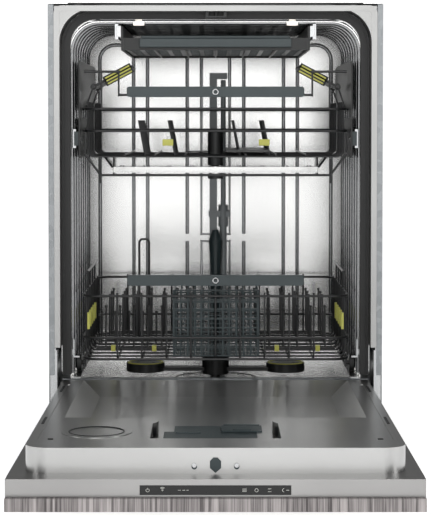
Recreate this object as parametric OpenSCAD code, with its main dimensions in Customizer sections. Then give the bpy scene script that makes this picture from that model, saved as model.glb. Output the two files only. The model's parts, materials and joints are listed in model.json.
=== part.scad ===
/* [Cabinet] */
// Outer width of the cabinet
body_w = 596; // [560:1:660]
// Height from the floor to the top frame
body_h = 820; // [800:1:900]
// Depth from the front plane to the rear cover
body_d = 555; // [540:1:640]
// Thickness of the side panels
panel_t = 10; // [6:1:12]
// Height of the floor line to the underside of the tub
base_h = 95; // [80:1:96]
/* [Tub] */
// Wall of the stainless tub
tub_t = 1.5; // [1:0.1:2]
// Gap between the side panel and the tub wall
side_gap = 26.5; // [26:0.5:40]
// Radius of the upper tub corners
tub_r = 52; // [40:1:60]
// Height of the pressed ribs
rib_h = 2.5; // [1:0.5:3]
// Width of a pressed rib
rib_w = 6; // [4:1:8]
// Number of rings of ribs along the tub
rib_n = 7; // [4:1:8]

/* [Door] */
// Height of the hinge axis above the floor
hinge_z = 120; // [118:1:124]
// Depth of the hinge axis behind the front plane
hinge_y = 19; // [19:0.5:21]
// Length of the door in front of the cabinet plane
door_l = 668; // [650:1:740]
// Depth of the raised liner
liner_h = 37.5; // [34:0.5:40]
// Thickness of the steel shell with the fascia
shell_t = 26; // [20:1:30]
// Thickness of the furniture panel
wood_t = 19; // [16:1:22]
// Radius of the hinge pin
hinge_pin_r = 4; // [3:0.5:5]
// Radial running clearance of every pivot
run_c = 0.05; // [0.02:0.01:0.1]

/* [Racks] */
// Gap left along each weld between two wires or sheets
weld_gap = 0.1; // [0.05:0.05:0.3]
// Diameter of the heavy rack wire
wire_d = 4.5; // [4:0.5:5]
// Diameter of the fine rack wire and tines
fine_d = 3.5; // [3:0.5:4]
// Pitch of the upright wires
wire_pitch = 44.7; // [40:0.1:50]
// Radius of the rack wheels
wheel_r = 16; // [14:1:18]
// Length of the rack handles
handle_l = 320; // [260:5:340]
// Height of a plate tine
tine_h = 88; // [60:1:95]
// Length of a spray arm from its axis
arm_l = 196; // [160:1:198]

/* [Hidden] */
$fn = 24;
half_w = body_w / 2;
tub_x = half_w - panel_t - side_gap;              // inner face of the tub side
tub_top = body_h - 37;                            // inner face of the tub ceiling
tub_back = body_d - 55;                           // inner face of the tub back
tub_floor = base_h + 15;                          // inner face of the tub floor
opening_x = half_w - panel_t - 10.5;              // half width of the door recess
liner_x = opening_x - 1.5;                        // half width of the raised liner
recess_d = 38;                                    // depth of the door recess
liner_z0 = hinge_z - hinge_y - 1.5;               // door flange plane when the door is open
liner_z1 = liner_z0 + liner_h;                    // top of the raised liner
swing_r = 26;                                     // free circle round the hinge axis
sill_y = hinge_y + swing_r;                       // front of the sill
ledge_z = liner_z1 + 2.7;                         // running surface of the rack wheels
shell_z0 = liner_z0 - shell_t;
wood_z0 = shell_z0 - wood_t;
door_back = -2;                                   // rear edge of the wide door parts
liner_back = hinge_y + 15;                        // rear edge of the narrow liner
liner_front = -(door_l - 38);
rack_y0 = 54;                                     // front of both racks
rack_y1 = tub_back - 32;                          // back of both racks
wheel_z = ledge_z + wheel_r + 0.3;
lower_z = wheel_z + 14;                           // floor wires of the lower rack
arm_y = 255;                                      // axis of the spray arms
upper_z = body_h - 280;                           // floor wires of the upper rack
tray_z = body_h - 87;                             // underside of the cutlery tray
rail_z = body_h - 264;                            // underside of the upper rails
tray_rail_x = 171;
tower_y = tub_back - 30;                          // axis of the jet tower
lrack_y1 = tower_y - 18;                          // back of the lower rack
lamp_r = 6;
pan_back = body_d - 50;                           // rear wall of the base pan
port_x = 150;
port_z = 64;
inlet_r = 13.2;
drain_r = 11;
post_r = 8;                                       // bearing post of the lower spray arm

// points of a rectangle with round corners, centred
function rr_pts(w, h, r, n = 8) = [for (q = [0:3], i = [0:n])
    let (a = q * 90 + i * 90 / n, sx = (q == 0 || q == 3) ? 1 : -1, sy = q < 2 ? 1 : -1)
    [sx * (w / 2 - r) + r * cos(a), sy * (h / 2 - r) + r * sin(a)]];
// an arch: straight bottom corners, round top corners
function arch_pts(hw, z0, z1, r, n = 12) = concat([[-hw, z0], [hw, z0]],
    [for (i = [0:n]) [hw - r + r * cos(i * 90 / n), z1 - r + r * sin(i * 90 / n)]],
    [for (i = [0:n]) [-hw + r - r * sin(i * 90 / n), z1 - r + r * cos(i * 90 / n)]]);
module arch(hw, z0, z1, r, y0, y1) {
    translate([0, y1, 0]) rotate([90, 0, 0]) linear_extrude(y1 - y0) polygon(arch_pts(hw, z0, z1, r));
}
module arch_ring(hw, z0, z1, r, t, y0, y1) {
    translate([0, y1, 0]) rotate([90, 0, 0]) linear_extrude(y1 - y0) difference() {
        polygon(arch_pts(hw, z0, z1, r));
        translate([0, -1]) polygon(arch_pts(hw - t, z0, z1 - t + 1, r - t));
    }
}
module plate(w, l, t, r) { linear_extrude(t) polygon(rr_pts(w, l, r)); }
module box(x0, x1, y0, y1, z0, z1) { translate([x0, y0, z0]) cube([x1 - x0, y1 - y0, z1 - z0]); }
module both() {
    children();
    mirror([1, 0, 0]) children();
}
module rod(a, b, d) {
    v = b - a;
    l = norm(v);
    translate(a) rotate([0, acos(v.z / l), atan2(v.y, v.x)]) cylinder(h = l, d = d);
}
// a quarter bend of wire, centre c, in a plane turned by rot
module bend(c, rot, r, d, start = 0) {
    translate(c) rotate(rot) rotate([0, 0, start]) rotate_extrude(angle = 90)
        translate([r, 0]) circle(d = d);
}
// a closed horizontal wire between y0 and y1
module hoop(hw, y0, y1, z, d, r = 30) {
    translate([0, (y0 + y1) / 2, z]) {
        l = y1 - y0;
        for (s = [-1, 1]) {
            translate([s * hw, 0, 0]) rotate([90, 0, 0])
                cylinder(h = l - 2 * r - weld_gap, d = d, center = true);
            translate([0, s * l / 2, 0]) rotate([0, 90, 0])
                cylinder(h = 2 * (hw - r) - weld_gap, d = d, center = true);
        }
        for (q = [0:3]) bend([(q == 0 || q == 3 ? 1 : -1) * (hw - r), (q < 2 ? 1 : -1) * (l / 2 - r), 0],
            [0, 0, q * 90], r, d);
    }
}
// a U wire standing in the plane of local x and z, with legs h high
module u_wire(hw, h, d, r = 12) {
    for (s = [0, 1]) mirror([s, 0, 0]) {
        translate([hw, 0, r]) cylinder(h = h - r, d = d);
        bend([hw - r, 0, r], [90, 0, 0], r, d, -90);
    }
    rotate([0, 90, 0]) cylinder(h = 2 * (hw - r) - weld_gap, d = d, center = true);
}

// ---- cabinet ----
module base_pan() color("dimgray") difference() {
    box(-half_w + panel_t + 0.5, half_w - panel_t - 0.5, 62, pan_back, 22, base_h - 3);
    box(-half_w + panel_t + 4.5, half_w - panel_t - 4.5, 66, pan_back - 4, 26, base_h);
    translate([-port_x, pan_back - 5, port_z]) rotate([-90, 0, 0]) cylinder(h = 6, r = inlet_r + 1.1);
    translate([port_x, pan_back - 5, port_z]) rotate([-90, 0, 0]) cylinder(h = 6, r = drain_r + 1.3);
    both() for (y = [95, pan_back - 32]) translate([half_w - 45, y, 0]) cylinder(h = 40, r = 5.05);
}
module levelling_feet() color("black") both() for (y = [95, pan_back - 32]) translate([half_w - 45, y, 0]) {
    cylinder(h = 8, r = 20);
    cylinder(h = 46, r = 5);
}
// side panel with two fixing holes for the kitchen carcass
module side_panel() color("silver") difference() {
    union() {
        box(-half_w, -half_w + 1.5, 3, body_d - 2, 62, body_h - 8);
        box(-half_w + 1.5, -half_w + panel_t, 3, 4.5, 150, body_h - 8);
        box(-half_w + 1.5, -half_w + panel_t, body_d - 9, body_d - 7.5, 62, body_h - 8);
    }
    for (z = [200, 700]) translate([-half_w - 1, 22, z]) rotate([0, 90, 0]) cylinder(h = 4, r = 2.5);
}
module side_panel_left() side_panel();
module side_panel_right() mirror([1, 0, 0]) side_panel();
module top_frame() color("silver") {
    difference() {
        box(-half_w, half_w, 3, body_d - 2, body_h - 7, body_h - 5);
        box(-half_w + 60, half_w - 60, 90, body_d - 60, body_h - 9, body_h);
    }
    difference() {
        box(-half_w, half_w, 0, 2.6, body_h - 7, body_h);
        both() translate([half_w - 40, -1, body_h - 3.4]) rotate([-90, 0, 0]) cylinder(h = 5, r = 1.6);
    }
}
module rear_cover() color("gray")
    box(-half_w + panel_t + 1, half_w - panel_t - 1, body_d - 2, body_d, base_h + 5, body_h - 9);
module toe_plate() color("silver") {
    box(-half_w + 12, half_w - 12, 58, 60, 20, base_h - 8);
    for (s = [-1, 1]) box(s * 180 - 20, s * 180 + 20, 60, 61.5, 40, 60);
}
module tub() color("gainsboro") {
    difference() {
        tub_shell();
        tub_seams();
    }
    // ledges that carry the rack wheels
    both() box(tub_x - 16, tub_x - 0.2, 54, tub_back - 0.2, tub_floor + 0.3, ledge_z);
}
// welded seams between the folded sheets
module tub_seams() {
    w = half_w;
    corner_z = tub_top - tub_r;
    back_y = tub_back - rib_h - 0.5;
    box(-w, w, 50, tub_back + 5, corner_z, corner_z + weld_gap);
    box(-w, w, 50, tub_back + 5, tub_floor + 0.1, tub_floor + 0.1 + weld_gap);
    box(-w, w, back_y, back_y + weld_gap, tub_floor - 5, body_h);
    both() box(tub_x - tub_r, tub_x - tub_r + weld_gap, 50, tub_back + 5, corner_z, body_h);
}
module tub_shell() {
    difference() {
        arch(tub_x + tub_t, tub_floor - tub_t, tub_top + tub_t, tub_r + tub_t, 52, tub_back + tub_t);
        arch(tub_x, tub_floor, tub_top, tub_r, 51, tub_back);
        translate([0, arm_y, tub_floor - 5]) cylinder(h = 10, r = 78);
        translate([-165, 130, tub_floor - 5]) cylinder(h = 10, r = 36.3);
        both() translate([139, 63, tub_top - 5]) cylinder(h = 10, r = lamp_r + 0.2);
    }
    // pressed rings
    pitch = (tub_back - 90) / rib_n;
    for (i = [0:rib_n - 1]) arch_ring(tub_x + 0.3, ledge_z + 1, tub_top + 0.3, tub_r, rib_h + 0.3,
        75 + i * pitch, 75 + i * pitch + rib_w);
    // pressed pattern of the back wall
    both() {
        for (x = [168.6, 140])
            box(x - rib_w / 2, x + rib_w / 2, tub_back - rib_h, tub_back + 0.5, 150, tub_top - 30);
        for (z = [[150, 357], [372, tub_top - 30]]) {
            box(58.3 - rib_w / 2, 58.3 + rib_w / 2, tub_back - rib_h, tub_back + 0.5, z[0], z[1]);
            box(29 - rib_w / 2, 29 + rib_w / 2, tub_back - rib_h, tub_back + 0.5, z[0], z[1]);
        }
    }
    for (z = [357, 372]) box(-29, 29, tub_back - rib_h, tub_back + 0.5, z - rib_w / 2, z + rib_w / 2);
    arch_ring(opening_x + 2, 150, tub_top + 22, tub_r + 20, side_gap - 10, 52, 53.5);
}
module front_flange() color("lightgray") {
    arch_ring(half_w - panel_t - 0.5, 200, body_h - 10, 14, panel_t, 0, 1.5);
    difference() {
        arch_ring(opening_x + 3, 200, tub_top + 24, 62, 3, 1.5, recess_d + 13);
        box(-21, 21, -1, recess_d - 0.5, tub_top + 5, body_h - 10.9);
    }
}
module door_gasket() color("#222222") {
    arch_ring(opening_x - 0.5, 146, tub_top + 20.5, 62, 4.5, recess_d, recess_d + 12);
    arch_ring(opening_x - 5, 146, tub_top + 16, 57.5, opening_x - 5 - tub_x, recess_d + 3, recess_d + 13);
}
module sill() color("gray") {
    box(-opening_x, opening_x, sill_y + 2, sill_y + 6, base_h - 2, ledge_z - 2);
    box(-tub_x + 17, tub_x - 17, sill_y + 2, sill_y + 18, ledge_z - 6, ledge_z - 2);
    for (i = [-5:5]) box(i * 40 - 3, i * 40 + 3, sill_y + 1, sill_y + 2, ledge_z - 10, ledge_z - 3);
}
module latch_striker() color("black") {
    difference() {
        box(-18, 20, 8, recess_d - 0.5, tub_top + 6, body_h - 11);
        box(-12, 14, 7, 30, tub_top + 9, body_h - 16);
    }
    translate([1, 14, tub_top + 8]) cylinder(h = body_h - tub_top - 23, r = 2.5);
}
module tub_lamps() color("white") both() translate([139, 63, tub_top - 5]) {
    cylinder(h = 5, r = 10);
    cylinder(h = 12, r = lamp_r);
}
hinge_plate_x = opening_x + 6;
// plates fixed to the cabinet that carry the hinge pins
module hinge_brackets() color("silver") {
    hinge_plates();
    rack_hooks();
}
module hinge_plates() both() {
    box(hinge_plate_x + 2.4, half_w - 2, 4.7, 6.2, 100, 199);
    difference() {
        box(hinge_plate_x, hinge_plate_x + 2.5, 4, 57, base_h, 195);
        for (z = [150, 180]) translate([hinge_plate_x - 1, 40, z]) rotate([0, 90, 0]) cylinder(h = 5, r = 2.2);
    }
    translate([opening_x + 0.3, hinge_y, hinge_z]) rotate([0, 90, 0])
        cylinder(h = hinge_plate_x - opening_x, r = hinge_pin_r);
}
// hooked guides above the wheel ledges
module rack_hooks() both() {
    box(tub_x - 5, tub_x - 2.7, 56, 64, wheel_z + wheel_r + 4, wheel_z + wheel_r + 36);
    box(tub_x - 14, tub_x - 2.7, 56, 64, wheel_z + wheel_r + 3, wheel_z + wheel_r + 6);
    box(tub_x - 2.8, tub_x, 56, 64, wheel_z + wheel_r + 8, wheel_z + wheel_r + 18);
}
module sump() color("dimgray") {
    translate([0, arm_y, 38]) cylinder(h = tub_floor - 4, r = post_r);
    sump_bowl();
}
module sump_bowl() difference() {
    translate([0, arm_y, 36]) cylinder(h = tub_floor - tub_t - 36.2, r = 86);
    translate([0, arm_y, 40]) cylinder(h = tub_floor, r = 76);
    translate([60, arm_y, 62]) rotate([0, 90, 0]) cylinder(h = 40, r = 12);
}
module filter_plate() color("silver") difference() {
    translate([0, arm_y, tub_floor - 3.5]) cylinder(h = 2, r = 76);
    translate([0, arm_y, tub_floor - 5]) cylinder(h = 8, r = 13);
    translate([-38, arm_y - 30, tub_floor - 5]) cylinder(h = 8, r = 22.3);
    for (i = [0:11]) rotate_about(i * 30) translate([62, 0, tub_floor - 5]) cylinder(h = 8, r = 3);
}
module rotate_about(a) { translate([0, arm_y, 0]) rotate([0, 0, a]) children(); }
module filter_cup() color("gray") translate([-38, arm_y - 30, 0]) {
    difference() {
        translate([0, 0, 48]) cylinder(h = tub_floor - 46, r = 22);
        translate([0, 0, 51]) cylinder(h = tub_floor, r = 19.5);
    }
    box(-19.7, 19.7, -2, 2, tub_floor - 10, tub_floor + 4);
}
module wash_pump() color("gray") {
    translate([106, arm_y, 62]) rotate([0, 90, 0]) cylinder(h = 24, r = 36);
    translate([130, arm_y, 62]) rotate([0, 90, 0]) cylinder(h = 70, r = 28);
    translate([64, arm_y, 62]) rotate([0, 90, 0]) cylinder(h = 43, r = 11.7);
}
// a hollow spigot through the pan wall, with its collar inside
module port(x, r, bore, out) translate([x, 0, port_z]) rotate([-90, 0, 0]) difference() {
    union() {
        translate([0, 0, pan_back - 20]) cylinder(h = 20.5, r = r + 0.8);
        translate([0, 0, pan_back]) cylinder(h = out, r = r);
    }
    translate([0, 0, pan_back - 12]) cylinder(h = out + 20, r = bore);
}
module drain_pump() color("black") {
    port(port_x, drain_r, drain_r - 2, 40);
    box(52, port_x + 6, pan_back - 34, pan_back - 19.8, 58, 86);
    translate([56, pan_back - 80, 62]) rotate([-90, 0, 0]) cylinder(h = 60, r = 22);
}
module inlet_valve() color("white") {
    port(-port_x, inlet_r, inlet_r - 3.7, 30);
    box(-port_x - 22, -port_x + 22, pan_back - 60, pan_back - 19.8, 52, base_h - 8);
}
module softener_tank() color("white") difference() {
    union() {
        box(-240, -112, 90, 210, 28, tub_floor - 8);
        translate([-165, 130, tub_floor - 9]) cylinder(h = 9, r = 36);
    }
    translate([-165, 130, 34]) cylinder(h = 100, r = 32);
}
module salt_cap() color("black") translate([-165, 130, 0]) {
    translate([0, 0, tub_floor - 8]) cylinder(h = 7.7, r = 31.9);
    translate([0, 0, tub_floor + 0.3]) cylinder(h = 7, r = 35);
    box(-28, 28, -3, 3, tub_floor + 7, tub_floor + 15);
}
// flat riser on the back wall with its telescopic coupling and clamp
module supply_tube() color("gray") {
    y = tub_back - 11;
    box(-12, 3, y - 3, y + 7, 128, tub_top - 90);
    translate([16, y, 396]) cylinder(h = tub_top - 490, r = 5);
    translate([16, y, 128]) cylinder(h = 268, r = 7);
    translate([16, y, 388]) cylinder(h = 44, r = 10);
    box(-14, 30, y - 8, y + 7.5, 408, 420);
    box(-12, 24, y - 8, tub_back, tub_top - 92, tub_top - 80);
}
module jet_tower() color("darkslategray") {
    translate([0, tower_y, 120]) cylinder(h = 150, r1 = 10, r2 = 10);
    translate([0, tower_y, 270]) cylinder(h = 90, r1 = 8, r2 = 14);
    translate([0, tower_y, 360]) cylinder(h = 22, r1 = 14, r2 = 6);
    box(-3, 3, tower_y - 14, tower_y, 250, 350);
    translate([0, tower_y, tub_floor]) cylinder(h = 12, r = 20);
}
// spray arm on the sump post, with two round heads
module lower_spray_arm() color("black") difference() {
    translate([0, arm_y, 0]) {
        translate([0, 0, tub_floor + 8]) cylinder(h = 36, r = 26);
        box(-135, 135, -14, 14, tub_floor + 14, tub_floor + 21);
        for (s = [-1, 1]) translate([s * 135, 0, tub_floor + 13]) cylinder(h = 16, r = 37);
    }
    translate([0, arm_y, 0]) cylinder(h = tub_floor + 38, r = post_r + run_c);
    for (s = [-1, 1], x = [120, 150]) translate([s * x, arm_y, tub_floor + 24]) cylinder(h = 10, r = 3);
}

// ---- telescopic rails ----
rail_h = 34;
rail_x = tub_x - rib_h - 0.5;                     // outer face of the fixed track
rail_y0 = 60;
rail_y1 = tub_back - 34;
carrier_x = rail_x - 10.2;                        // outer face of the adjuster plates
module upper_rail_tracks() color("silver") both() difference() {
    box(rail_x - 5.5, rail_x, rail_y0, rail_y1, rail_z, rail_z + rail_h);
    box(rail_x - 6, rail_x - 2, rail_y0 - 1, rail_y1 + 1, rail_z + 4, rail_z + rail_h - 4);
}
module upper_rail_slides() color("slategray") both()
    box(rail_x - 9.8, rail_x - 2.3, rail_y0, rail_y1, rail_z + 4.3, rail_z + rail_h - 4.3);
module tray_rail_tracks() color("silver") both() {
    difference() {
        box(tray_rail_x + 5, tray_rail_x + 11, rail_y0, rail_y1, tray_z + 20, tub_top - 2.7);
        box(tray_rail_x + 4, tray_rail_x + 8, rail_y0 - 1, rail_y1 + 1, tray_z + 24, tub_top - 6);
    }
    for (y = [rail_y0 + 32, rail_y1 - 60]) box(tray_rail_x + 5, tray_rail_x + 11, y, y + 12, tub_top - 3, tub_top);
}
module tray_rail_slides() color("silver") both()
    box(tray_rail_x + 0.3, tray_rail_x + 7.7, rail_y0, rail_y1, tray_z + 24.3, tub_top - 6.3);

// ---- cutlery tray ----
module tray_frame() color("#222222") {
    both() box(tray_rail_x - 4, tray_rail_x, rail_y0, rail_y1, tray_z, tub_top - 7);
    for (y = [rail_y0, rail_y1 - 4])
        box(-tray_rail_x + 4 + weld_gap, tray_rail_x - 4 - weld_gap, y, y + 4, tray_z, tray_z + 22);
    for (x = [-110:55:110])
        rod([x, rail_y0 + 4 + weld_gap, tray_z + 1.75], [x, rail_y1 - 4 - weld_gap, tray_z + 1.75], fine_d);
}
module tray_bin(x0, x1) {
    t = 2;
    g = weld_gap;
    y0 = rail_y0 + 5;
    y1 = rail_y1 - 5;
    translate([x0, y0, tray_z + 4]) plate_grid(x1 - x0, y1 - y0, t, 4, 12, 8);
    for (x = [x0, x1 - t]) box(x, x + t, y0, y1, tray_z + 4 + t + g, tray_z + 20);
    for (y = [y0, y1 - t]) box(x0 + t + g, x1 - t - g, y, y + t, tray_z + 4 + t + g, tray_z + 20);
}
module tray_bins() color("darkslategray") {
    tray_bin(-166, -58);
    tray_bin(-56, 56);
    tray_bin(58, 166);
}
module tray_handle() color("slategray") {
    box(-137, 137, rail_y0 - 12, rail_y0, tray_z + 5, tray_z + 21);
    box(-134, 134, rail_y0 - 8, rail_y0, tray_z + 21, tray_z + 26);
}

// ---- upper rack ----
// black plates that carry the rack on the rails and set its height
module height_adjusters() color("black") both() {
    box(carrier_x - 2.5, carrier_x, rack_y0 + 6, rack_y1, rail_z - 18, rail_z + rail_h + 20);
    box(carrier_x - 2.5, carrier_x, rack_y0 + 6, rack_y1, rail_z + rail_h + 38, body_h - 106);
    for (y = [rack_y0 + 6, rack_y1 - 60])
        box(carrier_x - 2.5, carrier_x, y, y + 60, rail_z + rail_h, rail_z + rail_h + 40);
    for (z = [-18, 14]) box(carrier_x - 6, carrier_x, rack_y0 + 6, rack_y0 + 10, rail_z + z, rail_z + z + 4);
}
urack_x = carrier_x - 10;
front_guard_z = body_h - 313;
guard_x = urack_x - 30;
module upper_rack_wires() color("#333333") {
    for (z = [upper_z + 47, upper_z + 87]) hoop(urack_x, rack_y0, rack_y1, z, wire_d);
    for (y = [rack_y0, rack_y1]) rod([-guard_x, y, front_guard_z], [guard_x, y, front_guard_z], wire_d);
    // sloping ends of the guard wires and the short feet below them
    both() for (y = [rack_y0, rack_y1]) {
        rod([guard_x + 2, y, front_guard_z + 3], [urack_x - 2, y, front_guard_z + 38], wire_d);
        rod([urack_x - 2, y, front_guard_z + 41], [urack_x - 2, y, upper_z + 44], fine_d);
        rod([guard_x, y + wire_d + 0.3, front_guard_z - 15], [guard_x, y + wire_d + 0.3, upper_z - fine_d], fine_d);
    }
    for (y = [rack_y0 + 30:wire_pitch:rack_y1 - 20]) if (abs(y - arm_y) > 18) translate([0, y, upper_z])
        u_wire(urack_x - wire_d - 0.4, 100, fine_d);
    for (x = [-3:3]) if (x != 0) rod([x * 55, rack_y0 + wire_d / 2, upper_z + fine_d + 0.3],
        [x * 55, rack_y1 - wire_d / 2, upper_z + fine_d + 0.3], fine_d);
    // wires that hold the handle
    both() {
        rod([handle_l / 2 + 0.3, rack_y0, upper_z + 112], [handle_l / 2 + 16, rack_y0, upper_z + 112], wire_d);
        rod([handle_l / 2 + 15, rack_y0, upper_z + 109], [handle_l / 2 + 15, rack_y0, upper_z + 154], fine_d);
        rod([handle_l / 2 + 12, rack_y0, upper_z + 154], [urack_x - 1, rack_y0, upper_z + 154], wire_d);
        rod([urack_x - 32, rack_y0, upper_z + 88], [urack_x - 32, rack_y0, upper_z + 153], fine_d);
    }
}
module handle_bar(z) {
    translate([0, rack_y0 + 2, z]) rotate([90, 0, 0]) difference() {
        plate(handle_l, 19, 14, 5);
        translate([0, 0, 13.2]) cylinder(h = 2, r = 6.8);
    }
    translate([0, rack_y0 - 11.4, z]) rotate([90, 0, 0]) difference() {
        cylinder(h = 0.6, r = 6.5);
        translate([0, 0, -1]) cylinder(h = 3, r = 3);
    }
}
module upper_rack_handle() color("slategray") handle_bar(upper_z + 117.5);
// feed hub of the upper arm, with the pipe to the back wall
module upper_spray_hub() color("black") translate([0, arm_y, 0]) {
    translate([0, 0, upper_z - 20]) cylinder(h = 66, r = 15);
    translate([0, 0, upper_z - 44]) cylinder(h = 25, r = 7);
    translate([0, 0, upper_z - 46]) cylinder(h = 6, r = 15);
    box(-12, 12, 0, rack_y1 - arm_y + 8, upper_z + 24, upper_z + 40);
    box(-57, 57, -6, 6, upper_z + 1.5 * fine_d + 0.4, upper_z + 7.9);
}
module upper_spray_arm() color("gainsboro") translate([0, arm_y, 0]) difference() {
    union() {
        translate([0, 0, upper_z - 34]) linear_extrude(11)
            polygon([[-arm_l, -12], [-30, -20], [30, -20], [arm_l, -12], [arm_l, 12], [30, 20], [-30, 20], [-arm_l, 12]]);
        for (x = [-180:45:180]) if (x != 0) translate([x, 5, upper_z - 23.5]) cylinder(h = 3, r = 4);
        translate([0, 0, upper_z - 39]) cylinder(h = 17, r = 13);
    }
    translate([0, 0, upper_z - 50]) cylinder(h = 60, r = 7 + run_c);
}
shelf_z = upper_z + 128;
shelf_x = urack_x - 14;
// folding shelf on a hinge rod along the rack side
module cup_shelf(s, y0, y1) mirror([s < 0 ? 1 : 0, 0, 0]) {
    difference() {
        translate([shelf_x, 0, shelf_z]) rotate([0, 28, 0]) union() {
            difference() {
                box(-80, -4, y0, y1, -2.5, 2.5);
                for (i = [0:2], y = [y0 + 14:34:y1 - 30]) box(-72 + i * 18, -62 + i * 18, y, y + 24, -4, 4);
            }
            for (y = [y0, y1 - 20]) translate([0, y, 0]) rotate([-90, 0, 0]) cylinder(h = 20, r = 6);
            for (y = [y0, y1 - 20]) box(-6, 0, y, y + 20, -2.5, 2.5);
        }
        translate([shelf_x, y0 - 1, shelf_z]) rotate([-90, 0, 0]) cylinder(h = y1 - y0 + 2, r = 2 + run_c);
    }
}
module cup_shelf_left() color("#222222") cup_shelf(-1, 110, 250);
module cup_shelf_right() color("#222222") cup_shelf(1, 110, 250);
// hinge rods of the shelves, brackets and standing posts of the rack
module glass_tines() color("black") {
    both() {
        translate([shelf_x, 100, shelf_z]) rotate([-90, 0, 0]) cylinder(h = 160, r = 2);
        for (y = [102, 252]) rod([shelf_x, y, shelf_z], [urack_x - 1, y, upper_z + 90], 3);
    }
    for (x = [-130, -75, 45, 100], y = [120:50:400])
        rod([x, y, upper_z + fine_d / 2 + 0.4], [x - 12, y + 6, upper_z + 66], fine_d);
    box(20, 98, 100, 400, upper_z + 8, upper_z + 12);
}

// ---- lower rack ----
lrack_x = tub_x - 20.5;
weld = (wire_d + fine_d) / 2 + weld_gap;
rim_z = lower_z + 117;
row_z = lower_z + 2 * fine_d + 1;
module lower_rack_wires() color("#333333") {
    for (z = [lower_z + 2, lower_z + 41, rim_z]) hoop(lrack_x, rack_y0, lrack_y1, z, wire_d);
    for (i = [-4:4]) translate([i * wire_pitch, (rack_y0 + lrack_y1) / 2, lower_z]) rotate([0, 0, 90])
        u_wire((lrack_y1 - rack_y0) / 2 - weld, rim_z - lower_z + 6, fine_d);
    for (y = [rack_y0 + 32:wire_pitch:lrack_y1 - 20]) translate([0, y, lower_z + fine_d + 0.1])
        u_wire(lrack_x - weld, rim_z - lower_z + 3, fine_d);
    // raised rear part of each side
    both() {
        for (y = [190:60:lrack_y1 - 32]) rod([lrack_x, y, rim_z + 0.7], [lrack_x, y, rim_z + 33.4], fine_d);
        rod([lrack_x, 180, rim_z + 34], [lrack_x, lrack_y1 - 31, rim_z + 34], wire_d);
        rod([handle_l / 2 - 20, rack_y0, rim_z + 0.7], [handle_l / 2 - 20, rack_y0, rim_z + 19.9], fine_d);
        for (y = [wheel_y0, wheel_y1]) {
            translate([lrack_x - 1, y, wheel_z]) rotate([0, 90, 0]) cylinder(h = rail_x - lrack_x - 0.5, r = axle_r);
            box(lrack_x - 1.6, lrack_x + 2, y - 7, y + 7, wheel_z - 7, lower_z + 3);
        }
    }
}
axle_r = 4;
wheel_y0 = 130;
wheel_y1 = lrack_y1 - 50;
module wheel_pair(y) both() translate([lrack_x + 8, y, wheel_z]) rotate([0, 90, 0]) difference() {
    cylinder(h = 8, r = wheel_r, $fn = 48);
    translate([0, 0, -1]) cylinder(h = 10, r = axle_r + run_c);
    translate([0, 0, 6]) difference() {
        cylinder(h = 3, r = wheel_r - 3);
        translate([0, 0, -1]) cylinder(h = 5, r = axle_r + 3);
    }
}
module rack_front_wheels() color("black") wheel_pair(wheel_y0);
module rack_rear_wheels() color("black") wheel_pair(wheel_y1);
module lower_rack_handle() color("slategray") handle_bar(rim_z + 29.5);
module tine(x, y, z, h, lean) translate([x, y, z]) rotate([lean, 0, 0]) {
    translate([0, 0, 2 + weld_gap]) cylinder(h = h - 2 - weld_gap, d = fine_d);
    translate([0, 0, h - 4]) cylinder(h = 4.5, r = fine_d / 2 + 0.9);
}
module tine_row(x0, x1, y, z, h) {
    rod([x0, y, z], [x1, y, z], 4);
    for (x = [x0 + 8:26:x1]) tine(x, y, z, h, -12);
}
fold_y = 130;
fold_z = row_z + 4;
module plate_tines_fixed() color("#333333") {
    for (y = [290, 355, 420]) tine_row(-215, 215, y, row_z + 1, tine_h);
    for (s = [-1, 1]) tine_row(s > 0 ? 95 : -225, s > 0 ? 225 : -95, 215, row_z + 1, tine_h - 25);
}
module plate_tines_left() color("#333333") mirror([1, 0, 0]) tine_row(92, 222, fold_y, fold_z, tine_h - 8);
module plate_tines_right() color("#333333") tine_row(92, 222, fold_y, fold_z, tine_h - 8);
// clips that hold the folding rows, and the locks on the sides
module tine_clips() color("khaki") both() {
    for (x = [110, 186]) difference() {
        box(x, x + 8, fold_y - 6, fold_y + 6, lower_z + 2 * fine_d + 0.2, fold_z + 6);
        translate([x - 1, fold_y, fold_z]) rotate([0, 90, 0]) cylinder(h = 10, r = 2 + run_c);
    }
    for (y = [70:44:250]) box(lrack_x - 11, lrack_x - 7, y, y + 10, lower_z + 55, lower_z + 85);
}
basket_x = 78;
basket_y1 = rack_y0 + 152;
basket_z = lower_z + 1.5 * fine_d + 0.4;
basket_h = 122;
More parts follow.
